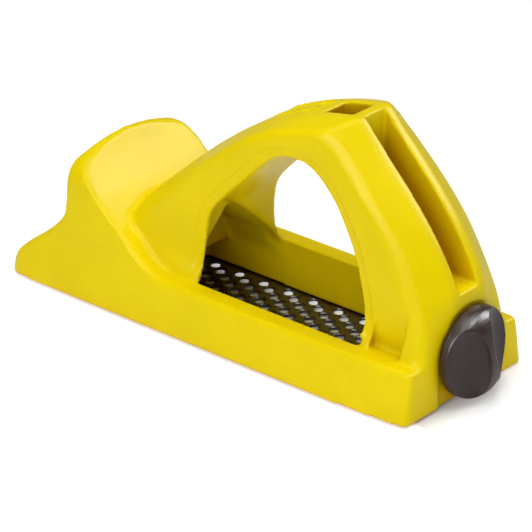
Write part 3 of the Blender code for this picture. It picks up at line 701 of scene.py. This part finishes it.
def raise_ribs(shell):
    """Two rows of short plain ribs on the ridge, ahead of the top pocket."""
    points = vertex_array(shell.data)
    normals = vertex_normals(shell.data)
    x, y, z = points.T
    top = (normals[:, 2] > 0.8) & (z > 66 * MM)
    phase = ((x - 88 * MM) / RIB_PITCH) % 1.0
    rib = smoothstep((0.22 - np.abs(phase - 0.5)) / 0.16)
    length = smoothstep((x - 88 * MM) / MM) * smoothstep((104 * MM - x) / MM)
    row = sum(smoothstep((2.2 * MM - np.abs(y - centre)) / (0.5 * MM))
              for centre in (-3.4 * MM, 3.4 * MM))
    height = RIB_HEIGHT * rib * length * row * top
    points += normals * height[:, None]
    set_vertices(shell.data, points)
    return int((height > 0).sum())


print("witness band:", press_witness(SHELL), "vertices; ribs:", raise_ribs(SHELL), "vertices")

# %% Hang the shell on its body
def finish_piece(item, name, material, body, replaced, angle=40):
    """Shifts a piece into the frame, names it, dresses it and ties it to its CAD node."""
    item.name = name
    item.data.name = name
    item.data.transform(Matrix.Translation(ROW))
    item.data.materials.clear()
    item.data.materials.append(material)
    item.data.shade_smooth()
    if angle:
        item.data.set_sharp_from_angle(angle=math.radians(angle))
    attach(item, body)
    if replaced:
        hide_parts(replaced)
    return item


finish_piece(SHELL, "shell_moulding", YELLOW, "plane_body", "body", angle=0)
print("shell placed")

# %% [markdown]
# ## Rasp blade
#
# The blade is thin steel, blackened, with staggered rows of punched teeth. Each tooth starts as
# a round dimple in the sheet with a hole through its floor, so the flat metal left between four
# dimples is a small four-pointed star. The dimples stay dark and the flats catch the light.

# %% Blackened steel
def blackened_steel():
    material, tree, shader, where = new_material("blackened_steel")
    cloud = noise(tree, where, 6 * MM, 3.0)
    colour = mix(tree, ramp(tree, cloud, 0.3, 0.7), linear("#1C1518"), linear("#2A2022"))
    tree.links.new(colour, shader.inputs["Base Color"])
    tree.links.new(ramp(tree, noise(tree, where, 1.5 * MM), 0.3, 0.7, 0.16, 0.3),
                   shader.inputs["Roughness"])
    grain = noise(tree, where, 0.25 * MM, 3.0)
    bump = add(tree, "Bump", {"Height": grain, "Strength": 0.15, "Distance": 0.02 * MM})
    tree.links.new(bump.outputs["Normal"], shader.inputs["Normal"])
    shader.inputs["Coat Weight"].default_value = 0.6
    shader.inputs["Coat Roughness"].default_value = 0.12
    return material


def zinc_plate():
    material, tree, shader, where = new_material("zinc_plated_steel")
    cloud = noise(tree, where, 3 * MM, 3.0)
    colour = mix(tree, ramp(tree, cloud, 0.35, 0.65), linear("#B9BCC2"), linear("#CFCFCB"))
    tree.links.new(colour, shader.inputs["Base Color"])
    tree.links.new(ramp(tree, noise(tree, where, 0.8 * MM), 0.3, 0.7, 0.22, 0.38),
                   shader.inputs["Roughness"])
    shader.inputs["Metallic"].default_value = 1.0
    return material


BLACK = blackened_steel()
ZINC = zinc_plate()
print("materials:", BLACK.name, ZINC.name)

# %% Blade
BLADE_LOW, BLADE_HIGH = (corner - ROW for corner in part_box("rasp_blade"))
SHEET_TOP = 0.5 * MM
SHEET = 0.6 * MM
HOLE_RADIUS = 1.6 * MM
DIMPLE_RADIUS = 2.25 * MM
DIMPLE_DEPTH = 0.32 * MM
HOLE_PITCH = 9.85 * MM
ROW_PITCH = 2.45 * MM
ROW_SHIFT = 4.1 * MM
FIRST_ROW = 15.9 * MM                   # y of the row nearest the far wall
FIRST_HOLE = 76.0 * MM                  # x of one hole of that row


def hole_places():
    """The staggered lattice of teeth, within the margins of the sheet."""
    places = []
    for row in range(14):
        y = FIRST_ROW - row * ROW_PITCH
        first = FIRST_HOLE + row * ROW_SHIFT
        reach = int(BODY_LENGTH / HOLE_PITCH) + 8
        places += [(first + step * HOLE_PITCH, y) for step in range(-reach, reach)
                   if 20 * MM < first + step * HOLE_PITCH < 140 * MM]
    return places


def tooth_tool(shape, x, y, sides=20):
    """A dimple and its hole, as one turned cutter."""
    profile = [(0.0, -3 * MM), (HOLE_RADIUS, -3 * MM),
               (HOLE_RADIUS, SHEET_TOP - DIMPLE_DEPTH),
               (0.5 * (HOLE_RADIUS + DIMPLE_RADIUS), SHEET_TOP - 0.62 * DIMPLE_DEPTH),
               (DIMPLE_RADIUS, SHEET_TOP + 0.01 * MM), (DIMPLE_RADIUS, SHEET_TOP + MM),
               (0.0, SHEET_TOP + MM)]
    rings = []
    for radius, z in profile[1:-1]:
        rings.append([shape.verts.new((x + radius * math.cos(a), y + radius * math.sin(a), z))
                      for a in [2 * math.pi * i / sides for i in range(sides)]])
    for low, high in zip(rings, rings[1:]):
        for i in range(sides):
            j = (i + 1) % sides
            shape.faces.new((low[i], low[j], high[j], high[i]))
    shape.faces.new(rings[0])
    shape.faces.new(rings[-1])


def tooth_lips(shape, x, y, sides=10):
    """The cutting lip that a punch leaves under one hole: a crescent, raised at its front."""
    rings = []
    for radius, drop in ((HOLE_RADIUS, 0.0), (HOLE_RADIUS - 0.25 * MM, 0.35 * MM),
                         (HOLE_RADIUS - 0.3 * MM, 0.55 * MM), (HOLE_RADIUS + 0.1 * MM, 0.0)):
        ring = []
        for i in range(sides + 1):
            a = math.radians(-70 + 140 * i / sides)
            fade = math.sin(math.pi * i / sides)
            ring.append(shape.verts.new((x + radius * math.cos(a), y + radius * math.sin(a),
                                         SHEET_TOP - SHEET - drop * fade)))
        rings.append(ring)
    for low, high in zip(rings, rings[1:] + rings[:1]):
        for i in range(sides):
            shape.faces.new((low[i], low[i + 1], high[i + 1], high[i]))


def rasp_blade():
    sheet = box("sheet", (BLADE_LOW.x, BLADE_LOW.y, SHEET_TOP - SHEET),
                (BLADE_HIGH.x, BLADE_HIGH.y, SHEET_TOP))
    cutters = bmesh.new()
    for x, y in hole_places():
        tooth_tool(cutters, x, y)
    boolean(sheet, from_bmesh("teeth", cutters))
    lips = bmesh.new()
    lips.from_mesh(sheet.data)
    for x, y in hole_places():
        tooth_lips(lips, x, y)
    bpy.data.objects.remove(sheet)
    return from_bmesh("blade", lips)


def blade_edges():
    """The turned-up long edges and the two end tabs, with their bends."""
    parts = bmesh.new()
    wall = 0.8 * MM
    for side in (-1, 1):
        y = side * BLADE_HIGH.y
        inner = y - side * wall
        low = (BLADE_LOW.x + 4 * MM, min(y, inner), SHEET_TOP - 0.3 * MM)
        high = (BLADE_HIGH.x - 4 * MM, max(y, inner), SHEET_TOP + 3 * MM)
        parts.from_mesh(box("edge", low, high).data)
    for x in (BLADE_LOW.x, BLADE_HIGH.x - wall):
        low = (x, -7 * MM, SHEET_TOP - 0.3 * MM)
        parts.from_mesh(box("tab", low, (x + wall, 7 * MM, BLADE_HIGH.z)).data)
    for name in [o.name for o in bpy.data.objects if o.name.split(".")[0] in ("edge", "tab")]:
        bpy.data.objects.remove(bpy.data.objects[name])
    return from_bmesh("blade_edges", parts)


BLADE = rasp_blade()
finish_piece(BLADE, "rasp_sheet", BLACK, "plane_body", "rasp_blade", angle=30)
EDGES = blade_edges()
bevel = EDGES.modifiers.new("bend", "BEVEL")
bevel.width = 0.25 * MM
bevel.segments = 3
bake(EDGES)
finish_piece(EDGES, "rasp_edges", BLACK, "plane_body", "rasp_blade")
print("blade:", len(hole_places()), "teeth")

# %% [markdown]
# ## Knob
#
# The knob is turned by finger and thumb: two big hollows leave a wing between them, wide at the
# rim and narrow at its waist, and twisted a little. It is a brown-black nylon with a soft sheen.

# %% Brown nylon
def brown_nylon():
    material, tree, shader, where = new_material("brown_nylon")
    cloud = noise(tree, where, 5 * MM, 3.0)
    colour = mix(tree, ramp(tree, cloud, 0.3, 0.7), linear("#251416"), linear("#321C1E"))
    tree.links.new(colour, shader.inputs["Base Color"])
    grain = noise(tree, where, 0.35 * MM, 4.0)
    tree.links.new(ramp(tree, noise(tree, where, 1.2 * MM), 0.3, 0.7, 0.3, 0.38),
                   shader.inputs["Roughness"])
    bump = add(tree, "Bump", {"Height": grain, "Strength": 0.25, "Distance": 0.05 * MM})
    tree.links.new(bump.outputs["Normal"], shader.inputs["Normal"])
    shader.inputs["Specular IOR Level"].default_value = 0.55
    return material


# %% Knob
KNOB_RIM = 2.6 * MM
WING = 2.2 * MM                         # thickness of the wing at its waist
WING_TWIST = 13                         # degrees


def turned(name, profile, sides=96):
    """A solid of revolution about Z from an (r, z) profile."""
    shape = bmesh.new()
    rings = []
    for radius, z in profile:
        if radius == 0.0:
            rings.append([shape.verts.new((0, 0, z))])
            continue
        rings.append([shape.verts.new((radius * math.cos(a), radius * math.sin(a), z))
                      for a in [2 * math.pi * i / sides for i in range(sides)]])
    for low, high in zip(rings, rings[1:]):
        for i in range(sides):
            j = (i + 1) % sides
            corners = [low[i % len(low)], low[j % len(low)],
                       high[j % len(high)], high[i % len(high)]]
            shape.faces.new(list(dict.fromkeys(corners)))
    return from_bmesh(name, shape)


def knob_blank():
    dome = KNOB_HEIGHT - KNOB_RIM
    profile = [(0.0, 0.0), (KNOB_RADIUS - 0.8 * MM, 0.0), (KNOB_RADIUS, 0.8 * MM)]
    for step in range(13):
        a = math.radians(90) * step / 12
        radius = KNOB_RADIUS * max(math.cos(a), 0.0) ** 0.9
        profile.append((radius if step < 12 else 0.0, KNOB_RIM + dome * math.sin(a) ** 0.8))
    return turned("knob", profile)


def finger_hollow(side):
    """One big hollow beside the wing: an egg-shaped bite, leaning along the wing's twist."""
    shape = bmesh.new()
    bmesh.ops.create_uvsphere(shape, u_segments=64, v_segments=40, radius=1.0)
    size = Vector((0.7 * KNOB_RADIUS, 1.28 * KNOB_RADIUS, KNOB_HEIGHT - KNOB_RIM - 0.4 * MM))
    centre = (side * (WING / 2 + size.x), 1.2 * MM, KNOB_HEIGHT - 0.3 * MM)
    twist = Matrix.Rotation(math.radians(WING_TWIST), 4, "Z")
    place = twist @ Matrix.Translation(centre) @ Matrix.Diagonal((*size, 1.0))
    bmesh.ops.transform(shape, verts=shape.verts, matrix=place)
    return from_bmesh("hollow", shape)


def tension_knob():
    knob = knob_blank()
    for side in (-1, 1):
        boolean(knob, finger_hollow(side))
    boolean(knob, rod("socket", 2.8 * MM, (0, 0, -MM), 6.3 * MM, (0, 0, 1)))
    soften(knob, 0.22 * MM, 3)
    stand = Matrix(((0, 0, 1, 0), (1, 0, 0, 0), (0, 1, 0, 0), (0, 0, 0, 1)))
    knob.data.transform(stand)
    return moved(knob, KNOB_BACK - ROW.x, 0.0, AXIS_HEIGHT)


KNOB = tension_knob()
finish_piece(KNOB, "knob_moulding", brown_nylon(), "knob", "tension_knob", angle=0)
print("knob:", len(KNOB.data.vertices), "vertices")

# %% [markdown]
# ## Zinc plated fittings
#
# The stud, nut, washer, hook and toe pin sit inside the shell. They keep their CAD solids,
# which are already the right plain shapes, and get the plated finish.

# %% Fittings
for name in ("tension_stud", "square_nut", "thrust_washer", "tension_hook", "toe_pin"):
    node = frame["nodes"][name]
    node.data.materials.clear()
    node.data.materials.append(ZINC)
    node.data.shade_smooth()
    node.data.set_sharp_from_angle(angle=math.radians(35))
print("fittings dressed")

# %% [markdown]
# ## Studio
#
# A white sweep and one large soft bank overhead give the even light, with a weaker front light
# and a low fill that reaches into the hollows. Three more softboxes show only in reflections:
# they draw the cream highlights on the ramp, on the crests and along the far edge of the back.

# %% Studio
def lit_to_glossy(tree, seen, reflected):
    """A strength that is lower for reflections, as black flags beside a set make it."""
    glossy = add(tree, "LightPath").outputs["Is Glossy Ray"]
    return ramp(tree, glossy, 0.0, 1.0, seen, reflected)


def studio_floor():
    """A white sweep that glows a little. The glow is taken away where the tool stands, which
    paints shade under it, and along the far side under the tool a painted light glows through the
    blade's far rows.
    """
    material, tree, shader, where = new_material("white_sweep")
    shader.inputs["Base Color"].default_value = linear("#DADADA")
    shader.inputs["Roughness"].default_value = 0.9
    shader.inputs["Specular IOR Level"].default_value = 0.0
    shader.inputs["Emission Color"].default_value = (1, 1, 1, 1)
    flat = add(tree, "Mapping", {"Vector": where, "Scale": (1 / 0.072, 1 / 0.021, 0.0)})
    edge = add(tree, "VectorMath", {0: flat.outputs["Vector"]}, operation="ABSOLUTE")
    parts = add(tree, "SeparateXYZ", {0: edge.outputs["Vector"]})
    outside = add(tree, "Math", {0: parts.outputs["X"], 1: parts.outputs["Y"]},
                  operation="MAXIMUM").outputs[0]
    # Painted shade: the floor's glow is taken away in a patch where the tool stands.
    painted_floor_glow = ramp(tree, outside, 0.9, 1.1)
    # Painted light: under the tool, a strip along the far side glows, bright through the blade's
    # far rows.
    across_y = add(tree, "SeparateXYZ", {"Vector": where}).outputs["Y"]
    painted_light_far_rows = ramp(tree, across_y, 13 * MM, 19 * MM, 0.0, 1.4)
    painted_floor_glow = mix(tree, painted_floor_glow, painted_light_far_rows, painted_floor_glow)
    glow = add(tree, "Math", {0: painted_floor_glow, 1: lit_to_glossy(tree, 0.48, 0.04)},
               operation="MULTIPLY").outputs[0]
    tree.links.new(glow, shader.inputs["Emission Strength"])
    shape = bmesh.new()
    bmesh.ops.create_grid(shape, x_segments=8, y_segments=8, size=3.0)
    floor = from_bmesh("floor", shape)
    floor.data.materials.append(material)
    return floor


def soft_light(name, aim, direction, distance, size, power, sheen=False):
    """A square softbox that faces aim from a direction. Sheen shows only in reflections."""
    light = bpy.data.lights.new(name, "AREA")
    light.shape = "SQUARE"
    light.size = size
    light.energy = power
    item = new_object(name, light)
    item.visible_diffuse = not sheen
    direction = Vector(direction).normalized()
    item.location = Vector(aim) + direction * distance
    item.rotation_mode = "QUATERNION"
    item.rotation_quaternion = (-direction).to_track_quat("-Z", "Y")
    return item


def white_world(strength):
    world = bpy.data.worlds.new("studio")
    bpy.context.scene.world = world
    world.use_nodes = True
    background = world.node_tree.nodes["Background"]
    background.inputs["Color"].default_value = (1, 1, 1, 1)
    world.node_tree.links.new(lit_to_glossy(world.node_tree, strength, 0.14),
                              background.inputs["Strength"])


studio_floor()
white_world(0.14)
CENTRE = (0.0, 0.0, 30 * MM)
soft_light("bank", CENTRE, (0.05, -0.05, 0.97), 0.8, 0.7, 5.8)
soft_light("front", CENTRE, (0.25, -0.80, 0.50), 0.9, 0.45, 1.3)
soft_light("low_fill", CENTRE, (0.55, -0.75, 0.25), 1.0, 0.3, 1.3)
soft_light("crest_sheen", CENTRE, (0.06, -0.86, 0.45), 0.9, 0.5, 9.0, sheen=True)
soft_light("ramp_sheen", CENTRE, (0.42, 0.68, 0.57), 0.9, 0.4, 10.0, sheen=True)
soft_light("top_sheen", CENTRE, (0.47, 0.15, 0.86), 0.9, 0.3, 4.0, sheen=True)
bpy.context.scene.view_settings.view_transform = "Standard"
print("studio lit")
